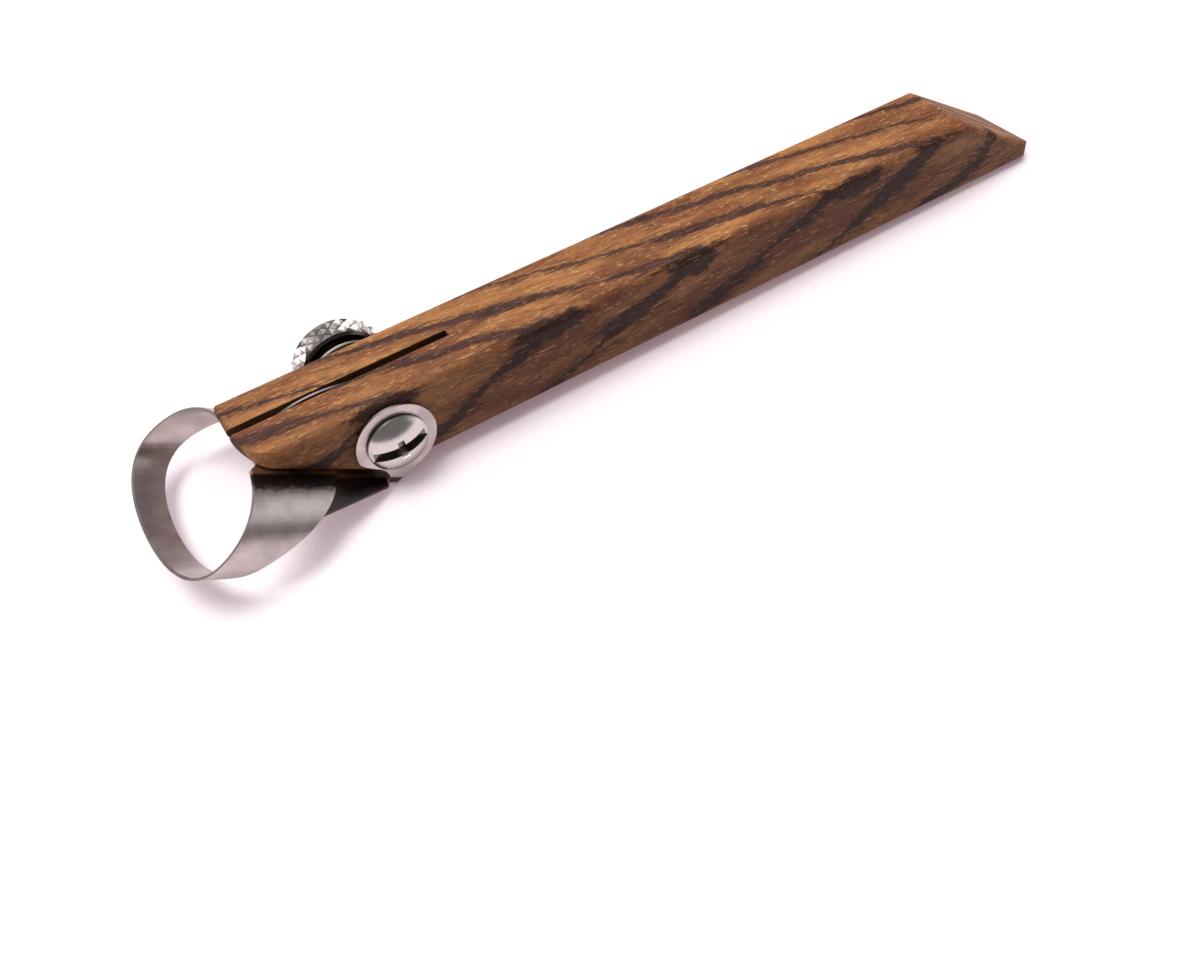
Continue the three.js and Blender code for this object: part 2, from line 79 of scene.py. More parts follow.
def make_camera():
    data = bpy.data.cameras.new("camera")
    data.sensor_fit = "HORIZONTAL"
    data.sensor_width = SENSOR
    data.lens = SENSOR * FOCAL_PIXELS / PHOTO_WIDTH
    data.clip_start = NEAREST_SEEN
    camera = bpy.data.objects.new("camera", data)
    bpy.context.scene.collection.objects.link(camera)
    back = -CAMERA_LOOK.normalized()
    up = back.cross(CAMERA_RIGHT).normalized()
    right = up.cross(back)
    turn = Matrix((right, up, back)).transposed().to_4x4()
    camera.matrix_world = TOOL @ Matrix.Translation(CAMERA_AT) @ turn
    bpy.context.scene.camera = camera


# Shader building


class Nodes:
    """Shader nodes, made one after another. A value can be a socket or a number."""

    def __init__(self, tree):
        self.tree = tree

    def node(self, kind, **values):
        made = self.tree.nodes.new("ShaderNode" + kind)
        for key, value in values.items():
            setattr(made, key, value)
        return made

    def put(self, socket, value):
        if isinstance(value, bpy.types.NodeSocket):
            self.tree.links.new(value, socket)
        else:
            socket.default_value = value

    def math(self, operation, *values):
        made = self.node("Math", operation=operation)
        for socket, value in zip(made.inputs, values):
            self.put(socket, value)
        return made.outputs[0]

    def vector(self, operation, *values):
        made = self.node("VectorMath", operation=operation)
        for socket, value in zip(made.inputs, values):
            self.put(socket, value)
        return made.outputs["Value" if operation == "DOT_PRODUCT" else "Vector"]

    def mix(self, share, first, second, blend="MIX"):
        made = self.node("Mix", data_type="RGBA", blend_type=blend)
        self.put(made.inputs["Factor"], share)
        self.put(made.inputs["A"], first)
        self.put(made.inputs["B"], second)
        return made.outputs["Result"]

    def step(self, value, low, high, to_low=0.0, to_high=1.0):
        made = self.node("MapRange", interpolation_type="SMOOTHSTEP")
        for socket, entry in zip(made.inputs, (value, low, high, to_low, to_high)):
            self.put(socket, entry)
        return made.outputs["Result"]

    def noise(self, place, scale, detail, roughness):
        made = self.node("TexNoise")
        self.put(made.inputs["Vector"], place)
        made.inputs["Scale"].default_value = scale
        made.inputs["Detail"].default_value = detail
        made.inputs["Roughness"].default_value = roughness
        return made.outputs["Fac"]


class Shader(Nodes):
    """A material made of nodes."""

    def __init__(self, name):
        self.material = bpy.data.materials.new(name)
        self.material.use_nodes = True
        super().__init__(self.material.node_tree)
        self.surface = self.tree.nodes["Principled BSDF"]

    def set(self, **values):
        for key, value in values.items():
            self.put(self.surface.inputs[key.replace("_", " ")], value)

    def bump(self, height, strength, distance):
        made = self.node("Bump")
        made.inputs["Strength"].default_value = strength
        made.inputs["Distance"].default_value = distance
        self.put(made.inputs["Height"], height)
        return made.outputs["Normal"]

    def tool_place(self):
        """The point in the tool's frame, in millimetres."""
        coordinates = self.node("TexCoord").outputs["Object"]
        mapping = self.node("Mapping")
        to_tool = Matrix.Scale(1 / MM, 4) @ TOOL.inverted()
        mapping.inputs["Location"].default_value = to_tool.translation
        mapping.inputs["Rotation"].default_value = to_tool.to_euler()
        mapping.inputs["Scale"].default_value = (1 / MM, 1 / MM, 1 / MM)
        self.put(mapping.inputs["Vector"], coordinates)
        return mapping.outputs["Vector"]

    def length(self, vector):
        made = self.node("VectorMath", operation="LENGTH")
        self.put(made.inputs[0], vector)
        return made.outputs["Value"]

    def stretched(self, place, scale):
        return self.vector("MULTIPLY", place, scale)

    def grain(self, place, along, across, detail, roughness):
        """Noise that is drawn out along the tool, from its features per millimetre each way."""
        return self.noise(self.stretched(place, (along, across, across)), 1.0, detail, roughness)

    def split(self, place):
        made = self.node("SeparateXYZ")
        self.put(made.inputs[0], place)
        return tuple(made.outputs)


def colour(red, green, blue):
    """A colour given as it shows on a screen, from 0 to 255."""
    return tuple(linear(part / 255) for part in (red, green, blue)) + (1.0,)


def linear(shown):
    if shown <= 0.04045:
        return shown / 12.92
    return ((shown + 0.055) / 1.055) ** 2.4


# Wood, in millimetres in the tool's frame

LAYER_NORMAL = Vector((0.198, 0.853, -0.483))
LAYER_SPACING = 6.4
LAYER_START = 4.4
# Each wave of the layers: its features per millimetre along and across, its detail and its height
LAYER_WAVES = (
    (0.02, 0.05, 2.0, 3.0),
    (0.07, 0.22, 3.0, 2.2),
    (0.45, 1.5, 3.0, 1.3),
    (1.3, 4.5, 2.0, 0.9),
)
WAVE_ROUGHNESS = 0.55
STREAK_HALF_WIDTHS = (0.2, 1.15)
STREAK_EDGE = 0.13
WISPS = (0.3, 1.5)  # past a streak's edge
FAINT_START = LAYER_START + 1.3
FAINT_SPACING = LAYER_SPACING / 3
FAINT_HALF_WIDTH = 0.32

# Grain: features per millimetre along and across, detail and roughness
BREADTH = (0.03, 0.12, 2.0, 0.5)
TONE = (0.035, 0.17, 4.0, 0.6)
FIBRE = (0.3, 5.5, 4.0, 0.7)
LINE = (0.16, 2.6, 3.0, 0.6)
FLECKS = (0.5, 3.4, 2.0, 0.45)
PORES = (0.8, 5.2, 2.0, 0.5)
PORES_SHIFT = Vector((31.0, 7.0, 3.0))  # so that pores and flecks don't lie together
SPOT_EDGE = (0.35, 0.9, 4.0, 0.65)
# Raggedness of the painted shade on the nose's end face
NOSE_SHADE_EDGE = (1.0, 0.6, 3.0, 0.6)
PATCH_SCALE = (0.06, 0.2, 0.3)
PATCH_DETAIL = 3.0
PATCH_ROUGHNESS = 0.6

# The span of the noise over which each of these goes from none to full
WIDENING = (0.32, 0.7)
RUSSET_TONE = (0.38, 0.62)
DARK_FIBRE = (0.43, 0.66)
DARK_LINE = (0.55, 0.68)
LINE_IN_STREAK = (0.4, 0.56)
LINE_IN_WISP = (0.5, 0.58)
DARK_PATCH = (0.4, 0.62)
PALE_FLECK = (0.615, 0.70)
OPEN_PORE = (0.645, 0.70)
ROUGH_FIBRE = (0.3, 0.7)

# How much each of these covers the wood under it
STREAK_SHARE = 0.94
WISP_SHARE = 0.75
FAINT_SHARE = 0.42
FIBRE_SHARE = 0.5
LINE_SHARE = 0.4
PATCH_SHARES = (0.6, 1.0)
FLECK_SHARE = 0.8
FLECK_IN_STREAK = 0.4
PORE_SHARE = 0.85
# How much painted shade darkens the near side
SIDE_SHADE_SHARES = (0.4, 0.22)  # low on the near side and high on it
# How much painted shade darkens the kerf's walls
KERF_SHADE_SHARE = 0.85
# How much painted shade darkens the nose's end face
NOSE_SHADE_SHARE = 0.55

WOOD_ROUGHNESS = (0.5, 0.66)
WOOD_SHINE = 0.2
FIBRE_RELIEF = 0.35  # beside a pore's depth of 1
WOOD_RELIEF = (0.35, 0.12 * MM)  # strength and depth

KERF_HALF_WIDTH = 0.86
KERF_LENGTH = 42.9
KERF_FADE = 0.12
KERF_END_FADE = 0.15
NEAR_SIDE = -9.4
NEAR_SIDE_FADE = 1.5
LOWER_EDGE = -18.0
# Height over which the near side's painted shade lightens from the bottom up
SIDE_SHADE_HEIGHT = 12.0
NOSE_RAGGED = 1.6
NOSE_FADE = (-0.6, 0.5)

# Each dark spot: its centre and its reach in each direction
DARK_SPOTS = (
    ((25.0, -9.6, -1.8), (7.0, 3.0, 2.2)),
    ((60.0, -9.6, -1.6), (9.0, 2.6, 2.4)),
    ((92.0, -9.6, -2.2), (6.0, 2.2, 3.0)),
    ((133.0, -9.6, -2.0), (8.0, 2.4, 2.4)),
)
SPOT_RAGGED = 1.6
SPOT_FADE = (1.55, 1.95)

GOLD = colour(194, 133, 80)
RUSSET = colour(138, 83, 52)
UMBER = colour(98, 57, 39)
STREAK = colour(92, 58, 50)
STREAK_LINE = colour(56, 33, 30)
# Streaks in patches of the near side: dark figure, with painted shade of that side
STREAK_AND_SIDE_SHADE = colour(32, 16, 13)
FLECK = colour(232, 182, 124)
PORE = colour(44, 22, 15)
# Painted shade in the kerf and on the nose's end face
DEEP_SHADE_BROWN = colour(62, 35, 22)
# Painted shade on the near side: a dark brown mixed in, deeper towards the bottom, and a filter over the
# whole side
SIDE_SHADE_BROWN = colour(58, 28, 20)
SIDE_SHADE_FILTER = colour(214, 210, 222)


def wood():
    s = Shader("striped_hardwood")
    place = s.tool_place()
    depth = layer_depth(s, place)
    fibre = s.grain(place, *FIBRE)
    line = s.grain(place, *LINE)
    streak = streaks(s, place, depth, line)
    pore = pores(s, place)
    tint = ground(s, place, depth, fibre, line)
    tint = s.mix(s.math("MULTIPLY", streak, STREAK_SHARE), tint, streak_tint(s, place, line))
    tint = s.mix(flecks(s, place, streak), tint, FLECK)
    tint = s.mix(s.math("MULTIPLY", pore, PORE_SHARE), tint, PORE)
    relief = s.math("SUBTRACT", s.math("MULTIPLY", fibre, FIBRE_RELIEF), pore)
    rough = s.step(fibre, *ROUGH_FIBRE, *WOOD_ROUGHNESS)
    s.set(Base_Color=painted_wood_shade(s, place, tint), Roughness=rough, Specular_IOR_Level=WOOD_SHINE)
    s.set(Normal=s.bump(relief, *WOOD_RELIEF))
    return s.material


def layer_depth(s, place):
    """How deep a point lies through the growth layers, with their waves and ragged edges."""
    depth = s.vector("DOT_PRODUCT", place, LAYER_NORMAL)
    for along, across, detail, height in LAYER_WAVES:
        wave = s.math("SUBTRACT", s.grain(place, along, across, detail, WAVE_ROUGHNESS), 0.5)
        depth = s.math("MULTIPLY_ADD", wave, height, depth)
    return depth


def beside(s, depth, start, spacing):
    """The distance from the nearest of a row of layers."""
    turns = s.math("DIVIDE", s.math("SUBTRACT", depth, start), spacing)
    off = s.math("SUBTRACT", s.math("FRACT", s.math("ADD", turns, 0.5)), 0.5)
    return s.math("MULTIPLY", s.math("ABSOLUTE", off), spacing)


def streaks(s, place, depth, line):
    """The dark streaks, the wisps beside them and the dark spots."""
    half_width = s.step(s.grain(place, *BREADTH), *WIDENING, *STREAK_HALF_WIDTHS)
    past_edge = s.math("SUBTRACT", beside(s, depth, LAYER_START, LAYER_SPACING), half_width)
    streak = s.step(past_edge, -STREAK_EDGE, STREAK_EDGE, 1.0, 0.0)
    wisp = s.step(past_edge, *WISPS, WISP_SHARE, 0.0)
    wisp = s.math("MULTIPLY", wisp, s.step(line, *LINE_IN_WISP))
    return s.math("MAXIMUM", s.math("MAXIMUM", streak, wisp), dark_spots(s, place))


def dark_spots(s, place):
    """Blots of dark figure where streaks cross the near top edge."""
    ragged = s.grain(place, *SPOT_EDGE)
    spots = 0.0
    for centre, reach in DARK_SPOTS:
        off = s.vector("SUBTRACT", place, centre)
        off = s.length(s.vector("DIVIDE", off, reach))
        off = s.math("MULTIPLY_ADD", ragged, SPOT_RAGGED, off)
        spots = s.math("MAXIMUM", spots, s.step(off, *SPOT_FADE, 1.0, 0.0))
    return spots


def ground(s, place, depth, fibre, line):
    """The wood between the streaks, with faint layers of its own."""
    tint = s.mix(s.step(s.grain(place, *TONE), *RUSSET_TONE), GOLD, RUSSET)
    tint = s.mix(s.step(fibre, *DARK_FIBRE, 0.0, FIBRE_SHARE), tint, UMBER)
    tint = s.mix(s.step(line, *DARK_LINE, 0.0, LINE_SHARE), tint, UMBER)
    off = beside(s, depth, FAINT_START, FAINT_SPACING)
    return s.mix(s.step(off, FAINT_HALF_WIDTH, 0.0, 0.0, FAINT_SHARE), tint, UMBER)


def streak_tint(s, place, line):
    """A streak's colour, darker in thin lines, and in patches of the near side, which are dark figure with
    painted shade.
    """
    tint = s.mix(s.step(line, *LINE_IN_STREAK), STREAK, STREAK_LINE)
    patch = s.noise(s.stretched(place, PATCH_SCALE), 1.0, PATCH_DETAIL, PATCH_ROUGHNESS)
    patch = s.step(patch, *DARK_PATCH, *PATCH_SHARES)
    # Dark figure with painted shade, in patches of the near side
    return s.mix(s.math("MULTIPLY", near_side(s, place), patch), tint, STREAK_AND_SIDE_SHADE)


def flecks(s, place, streak):
    """Short pale fibres, which show less in the streaks."""
    fleck = s.step(s.grain(place, *FLECKS), *PALE_FLECK, 0.0, FLECK_SHARE)
    return s.math("MULTIPLY", fleck, s.step(streak, 0.0, 1.0, 1.0, FLECK_IN_STREAK))


def pores(s, place):
    """Short dark pores."""
    shifted = s.vector("ADD", place, PORES_SHIFT)
    return s.step(s.grain(shifted, *PORES), *OPEN_PORE)


def painted_wood_shade(s, place, tint):
    """Painted shade on the wood: the near side, the kerf's walls and the nose's end face are darkened."""
    side = near_side(s, place)
    _, _, height = s.split(place)
    side_shade = s.step(height, LOWER_EDGE, LOWER_EDGE + SIDE_SHADE_HEIGHT, *SIDE_SHADE_SHARES)
    # Painted shade on the near side, deeper towards the bottom
    tint = s.mix(s.math("MULTIPLY", side, side_shade), tint, SIDE_SHADE_BROWN)
    tint = s.mix(side, tint, SIDE_SHADE_FILTER, blend="MULTIPLY")
    # Painted shade in the kerf
    tint = s.mix(s.math("MULTIPLY", in_kerf(s, place), KERF_SHADE_SHARE), tint, DEEP_SHADE_BROWN)
    # Painted shade on the nose's end face
    return s.mix(nose_edge(s, place), tint, DEEP_SHADE_BROWN)


def near_side(s, place):
    """The side that the screw's head lies against."""
    _, across, _ = s.split(place)
    return s.step(across, NEAR_SIDE, NEAR_SIDE + NEAR_SIDE_FADE, 1.0, 0.0)


def in_kerf(s, place):
    """The saw cut's walls, darkened with painted shade."""
    along, across, _ = s.split(place)
    inside = s.step(s.math("ABSOLUTE", across), KERF_HALF_WIDTH, KERF_HALF_WIDTH + KERF_FADE, 1.0, 0.0)
    before_end = s.step(along, KERF_LENGTH, KERF_LENGTH + KERF_END_FADE, 1.0, 0.0)
    return s.math("MULTIPLY", inside, before_end)


def nose_edge(s, place):
    """Painted shade on the nose's end face, with a ragged edge."""
    along, _, _ = s.split(place)
    ragged = s.math("MULTIPLY_ADD", s.grain(place, *NOSE_SHADE_EDGE), -NOSE_RAGGED, along)
    return s.step(ragged, *NOSE_FADE, NOSE_SHADE_SHARE, 0.0)


# Clamp screw, in millimetres along its own axis from the head's seat, with the crown on the negative side

HEAD_RADIUS = 5.85
HEAD_HEIGHT = 2.7
HEAD_RIM = 0.45
HEAD_CROWN = HEAD_HEIGHT - HEAD_RIM
DOME_RADIUS = (HEAD_RADIUS ** 2 + HEAD_CROWN ** 2) / (2 * HEAD_CROWN)
HEAD_SEAT = -10.625  # in the tool's frame
EDGE_ROUNDING = 0.1
# Where the dome turns into the rim: how far in and up the turn starts, and how far down it ends
RIM_TURN_IN = 0.03
RIM_TURN_UP = 0.05
RIM_TURN_DOWN = 0.08
SHANK_RADIUS = 2.38
SHANK_LENGTH = 31.75
END_CHAMFER = 0.6
PITCH = 0.79375
THREAD_DEPTH = 0.42
THREAD_START = 4.0
THREAD_FADE = 1.2
RINGS_PER_TURN = 6
SCREW_SIDES = 72
DOME_RINGS = 24
SLOT_WIDTH = 2.2
SLOT_DEPTH = 2.05
SLOT_DRAFT = 0.08
CROSS_REACH = 2.7
CROSS_FOOT = 0.9
CROSS_WIDTH = 1.4
CROSS_DEPTH = 2.45
CROSS_DRAFT = 0.1
CUT_OVERRUN = 1.0
SLOT_TURN = math.radians(-3.5)


# Metals, in millimetres in the tool's frame

# The facet under the nose: the way along it, and the way square to it, called the level below
FACET = math.radians(33.5)
FACET_ALONG = Vector((math.cos(FACET), 0.0, -math.sin(FACET)))
FACET_OUT = Vector((math.sin(FACET), 0.0, math.cos(FACET)))

REAR_EDGE_SLOPE = 1.27  # how far the loop's rear edge runs forward for each millimetre down
REAR_EDGE_AT = 20.15
# Where the ribbon's painted shade fades in or out, from one value to the other
PAST_REAR_EDGE = (0.1, 0.6)
WING_END = (28.0, 28.5)
UNDER_HANDLE = (-2.9, -2.2)
FACET_LEVEL = (-1.9, -1.4)
LOWEST_LEVEL = (-9.0, -7.0)
EAR_FACE = (-9.3, -8.6)
FACING_DOWN = (-0.45, -0.15)  # the strip's underside takes no painted shade
STRIP_SHADE_RAGGED = 0.8

# Grain: features per millimetre along and across, detail and roughness
BRUSH_MARKS = (0.5, 9.0, 3.0, 0.65)
# The grain that makes the edge of the strip's painted shade ragged
STRIP_SHADE_EDGE = (0.5, 1.2, 3.0, 0.6)
# Noise that is the same each way: features per millimetre, detail and roughness
SPECKS = (2.6, 3.0, 0.7)
CLOUDS = (0.2, 3.0, 0.5)
POLISH_MARKS = (3.0, 4.0, 0.6)
NICKEL_MARKS = (2.2, 4.0, 0.6)

# The span of the noise over which each of these goes from none to full
DULL_CLOUD = (0.3, 0.7)
DULL_SPECK = (0.62, 0.76)
DULL_POLISH = (0.4, 0.75)
ROUGH_POLISH = (0.35, 0.7)
DULL_NICKEL = (0.35, 0.7)
ROUGH_NICKEL = (0.3, 0.7)

# How much each of these covers the metal under it
SPECK_SHARE = 0.5
# How much painted shade darkens the strip
STRIP_SHADE_SHARE = 0.95
# How much painted shade darkens the screw's recess
RECESS_SHADE_SHARE = 0.85
# How much painted shade darkens the washer's rim
WASHER_SHADE_SHARE = 0.85
# How much painted shade darkens the nut's inner face and its knurl's pits
INNER_FACE_SHARE = 0.92
PIT_SHARE = 0.6

BRUSHED_ROUGHNESS = 0.22
BRUSHED_ROUGHER = 0.14
POLISH_ROUGHNESS = (0.17, 0.27)
NICKEL_ROUGHNESS = (0.12, 0.24)
# Strength and depth of each relief
BRUSHED_RELIEF = (0.12, 0.03 * MM)
POLISH_RELIEF = (0.04, 0.02 * MM)
NICKEL_RELIEF = (0.06, 0.03 * MM)

# Where painted shade on the washer and the nut fades in or out across the tool, from one value to the other
WASHER_FOOT = (9.6, 9.8)
WASHER_SHADE_TO = (10.05, 10.2)
KNURL_INNER_END = (13.65, 13.95)
KNURL_OUTER_END = (18.3, 18.5)
KNURL_PITS = (8.65, 9.0)  # from the screw's axis
RECESS_FADE = (0.4, 0.1)  # below the dome
RIM_FADE = 0.1

STEEL = colour(198, 186, 183)
STEEL_DULL = colour(170, 158, 156)
# Painted shade and dark reflection on the strip, behind its rear edge and under the handle
STEEL_IN_SHADE = colour(46, 37, 36)
# Painted shade in the screw's slot and cross recess
RECESS_SHADE = colour(88, 80, 76)
BRIGHT = colour(208, 200, 196)
NICKEL = colour(238, 227, 222)
NICKEL_DULL = colour(205, 193, 188)
# Painted shade on the washer's rim, and on the nut's inner face and knurl pits
METAL_SHADE = colour(46, 40, 38)


def brushed_steel():
    s = Shader("brushed_steel")
    place = s.tool_place()
    brushed = s.grain(place, *BRUSH_MARKS)
    speck = s.noise(place, *SPECKS)
    cloud = s.noise(place, *CLOUDS)
    tint = s.mix(s.step(cloud, *DULL_CLOUD), STEEL, STEEL_DULL)
    tint = s.mix(s.step(speck, *DULL_SPECK, 0.0, SPECK_SHARE), tint, STEEL_DULL)
    # Painted shade and dark reflection on the strip
    tint = s.mix(s.math("MULTIPLY", strip_shade(s, place), STRIP_SHADE_SHARE), tint, STEEL_IN_SHADE)
    rough = s.math("MULTIPLY_ADD", brushed, BRUSHED_ROUGHER, BRUSHED_ROUGHNESS)
    s.set(Base_Color=tint, Metallic=1.0, Roughness=rough, Normal=s.bump(brushed, *BRUSHED_RELIEF))
    return s.material


def strip_shade(s, place):
    """Painted shade and a painted dark reflection on the strip's upper side: behind the loop's rear edge,
    and close under the handle.
    """
    along = s.vector("DOT_PRODUCT", place, FACET_ALONG)
    level = s.vector("DOT_PRODUCT", place, FACET_OUT)
    _, across, _ = s.split(place)
    past_edge = s.math("MULTIPLY_ADD", level, -REAR_EDGE_SLOPE, s.math("SUBTRACT", along, REAR_EDGE_AT))
    behind = s.math("MULTIPLY", s.step(past_edge, *PAST_REAR_EDGE), s.step(along, *WING_END, 1.0, 0.0))
    ragged_level = s.math("MULTIPLY_ADD", s.grain(place, *STRIP_SHADE_EDGE), STRIP_SHADE_RAGGED, level)
    shade = s.math("MAXIMUM", behind, s.step(ragged_level, *UNDER_HANDLE))
    normal = s.node("TexCoord").outputs["Normal"]
    facing = s.vector("DOT_PRODUCT", normal, AXES @ FACET_OUT)
    limits = (
        s.step(level, *FACET_LEVEL, 1.0, 0.0),
        s.step(level, *LOWEST_LEVEL),
        s.step(across, *EAR_FACE, 1.0, 0.0),
        s.step(facing, *FACING_DOWN),
    )
    for limit in limits:
        shade = s.math("MULTIPLY", shade, limit)
    return shade


def polished_steel():
    s = Shader("polished_steel")
    place = s.tool_place()
    marks = s.noise(place, *POLISH_MARKS)
    tint = s.mix(s.step(marks, *DULL_POLISH), BRIGHT, STEEL)
    # Painted shade in the screw's recess
    tint = s.mix(s.math("MULTIPLY", in_recess(s, place), RECESS_SHADE_SHARE), tint, RECESS_SHADE)
    # Painted shade and dark reflection on the washer's rim by the handle
    tint = s.mix(s.math("MULTIPLY", beside_wood(s, place), WASHER_SHADE_SHARE), tint, METAL_SHADE)
    rough = s.step(marks, *ROUGH_POLISH, *POLISH_ROUGHNESS)
    s.set(Base_Color=tint, Metallic=1.0, Roughness=rough, Normal=s.bump(marks, *POLISH_RELIEF))
    return s.material


def beside_wood(s, place):
    """The washer's rim where it lies on the handle, darkened with painted shade and a painted dark
    reflection of the wood.
    """
    _, across, _ = s.split(place)
    return s.math("MULTIPLY", s.step(across, *WASHER_FOOT), s.step(across, *WASHER_SHADE_TO, 1.0, 0.0))


def in_recess(s, place):
    """Painted shade in the slot and the cross recess: what lies below the screw's dome, but above its rim.
    """
    centre = (SCREW_FROM_NOSE / MM, HEAD_SEAT - HEAD_HEIGHT + DOME_RADIUS, -SCREW_BELOW_TOP / MM)
    from_centre = s.vector("SUBTRACT", place, centre)
    _, across, _ = s.split(from_centre)
    deep, shallow = (DOME_RADIUS - fade for fade in RECESS_FADE)
    below_dome = s.step(s.length(from_centre), deep, shallow, 1.0, 0.0)
    rim = HEAD_CROWN - DOME_RADIUS
    above_rim = s.step(across, rim - RIM_FADE, rim, 1.0, 0.0)
    return s.math("MULTIPLY", below_dome, above_rim)


def nickel():
    s = Shader("bright_nickel")
    place = s.tool_place()
    marks = s.noise(place, *NICKEL_MARKS)
    tint = s.mix(s.step(marks, *DULL_NICKEL), NICKEL, NICKEL_DULL)
    # Painted shade on the nut's inner face and in its knurl's pits
    tint = s.mix(nut_shade(s, place), tint, METAL_SHADE)
    rough = s.step(marks, *ROUGH_NICKEL, *NICKEL_ROUGHNESS)
    s.set(Base_Color=tint, Metallic=1.0, Roughness=rough, Normal=s.bump(marks, *NICKEL_RELIEF))
    return s.material


def nut_shade(s, place):
    """Painted shade on the nut: on its inner face, and in the pits of its knurl."""
    from_axis = s.vector("SUBTRACT", place, (SCREW_FROM_NOSE / MM, 0.0, -SCREW_BELOW_TOP / MM))
    radius = s.length(s.vector("MULTIPLY", from_axis, (1.0, 0.0, 1.0)))
    _, across, _ = s.split(place)
    inner_face = s.step(across, *KNURL_INNER_END, INNER_FACE_SHARE, 0.0)
    pit = s.step(radius, *KNURL_PITS, PIT_SHARE, 0.0)
    knurl = s.step(across, *KNURL_OUTER_END, 1.0, 0.0)
    return s.math("MAXIMUM", inner_face, s.math("MULTIPLY", pit, knurl))


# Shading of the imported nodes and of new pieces

WELD = 0.002 * MM
CREASE = math.radians(26)


def smoothing_group():
    """Joins faces that share edges and shades them smooth, except across creases."""
    group = bpy.data.node_groups.new("smooth_by_angle", "GeometryNodeTree")
    for way in ("INPUT", "OUTPUT"):
        group.interface.new_socket("Geometry", in_out=way, socket_type="NodeSocketGeometry")
    weld = group.nodes.new("GeometryNodeMergeByDistance")
    weld.inputs["Distance"].default_value = WELD
    bare = group.nodes.new("GeometryNodeRemoveAttribute")
    bare.inputs["Name"].default_value = "custom_normal"
    smooth = group.nodes.new("GeometryNodeSetShadeSmooth")
    crease = group.nodes.new("GeometryNodeSetShadeSmooth")
    crease.domain = "EDGE"
    crease.inputs["Shade Smooth"].default_value = False
    fold = group.nodes.new("GeometryNodeInputMeshEdgeAngle")
    sharp = group.nodes.new("FunctionNodeCompare")
    sharp.inputs["B"].default_value = CREASE
    group.links.new(fold.outputs["Unsigned Angle"], sharp.inputs["A"])
    group.links.new(sharp.outputs["Result"], crease.inputs["Selection"])
    begin = group.nodes.new("NodeGroupInput")
    end = group.nodes.new("NodeGroupOutput")
    chain = (begin, weld, bare, smooth, crease, end)
    for before, after in zip(chain, chain[1:]):
        group.links.new(before.outputs["Geometry"], after.inputs["Geometry"])
    return group


def shade_smooth(piece, group):
    piece.modifiers.new("smooth", "NODES").node_group = group
    weighted = piece.modifiers.new("weighted", "WEIGHTED_NORMAL")
    weighted.keep_sharp = True


def dress(name, material, group):
    node = frame["nodes"][name]
    node.data.materials.clear()
    node.data.materials.append(material)
    shade_smooth(node, group)


# Clamp screw: a domed head with a slot and a cross recess, and a threaded shank


def around(work, radius_at, along):
    """A ring of vertices about the screw's axis."""
    ring = []
    for i in range(SCREW_SIDES):
        angle = 2 * math.pi * i / SCREW_SIDES
        radius = radius_at(i / SCREW_SIDES)
        ring.append(work.verts.new((radius * math.cos(angle), along, radius * math.sin(angle))))
    return ring


def thread_radius(along):
    """The radius at each share of a turn, for a ring at a distance along the shank."""
    end = SHANK_LENGTH - END_CHAMFER
    fade = min(1.0, max(0.0, (along - THREAD_START) / THREAD_FADE))
    chamfer = max(0.0, along - end)

    def radius(turn):
        phase = (along / PITCH - turn) % 1.0
        groove = 1.0 - abs(2.0 * phase - 1.0)
        return min(SHANK_RADIUS - THREAD_DEPTH * fade * groove, SHANK_RADIUS - chamfer)

    return radius


def head_profile():
    """The head's outline from its crown to its seat, as radii and places along the screw."""
    widest = math.asin(HEAD_RADIUS / DOME_RADIUS)
    profile = []
    for i in range(1, DOME_RINGS):
        angle = widest * i / DOME_RINGS
        profile.append((DOME_RADIUS * math.sin(angle), DOME_RADIUS * (1 - math.cos(angle)) - HEAD_HEIGHT))
    profile += [
        (HEAD_RADIUS - RIM_TURN_IN, -HEAD_RIM - RIM_TURN_UP),
        (HEAD_RADIUS, -HEAD_RIM + RIM_TURN_DOWN),
        (HEAD_RADIUS, -EDGE_ROUNDING),
        (HEAD_RADIUS - EDGE_ROUNDING, 0.0),
        (SHANK_RADIUS + EDGE_ROUNDING, 0.0),
        (SHANK_RADIUS, EDGE_ROUNDING),
    ]
    return profile


def screw_body():
    work = bmesh.new()
    rings = [around(work, lambda turn, r=radius: r, along) for radius, along in head_profile()]
    count = round((SHANK_LENGTH - THREAD_START) / PITCH * RINGS_PER_TURN)
    for i in range(count + 1):
        along = THREAD_START + (SHANK_LENGTH - THREAD_START) * i / count
        rings.append(around(work, thread_radius(along), along))
    for low, high in zip(rings, rings[1:]):
        for i in range(SCREW_SIDES):
            j = (i + 1) % SCREW_SIDES
            work.faces.new((low[i], low[j], high[j], high[i]))
    for ring, tip in ((rings[0], -HEAD_HEIGHT), (rings[-1], SHANK_LENGTH)):
        middle = work.verts.new((0.0, tip, 0.0))
        for i in range(SCREW_SIDES):
            work.faces.new((ring[i], ring[(i + 1) % SCREW_SIDES], middle))
    bmesh.ops.recalc_face_normals(work, faces=work.faces)
    return mesh_object("clamp_screw_turned", work)


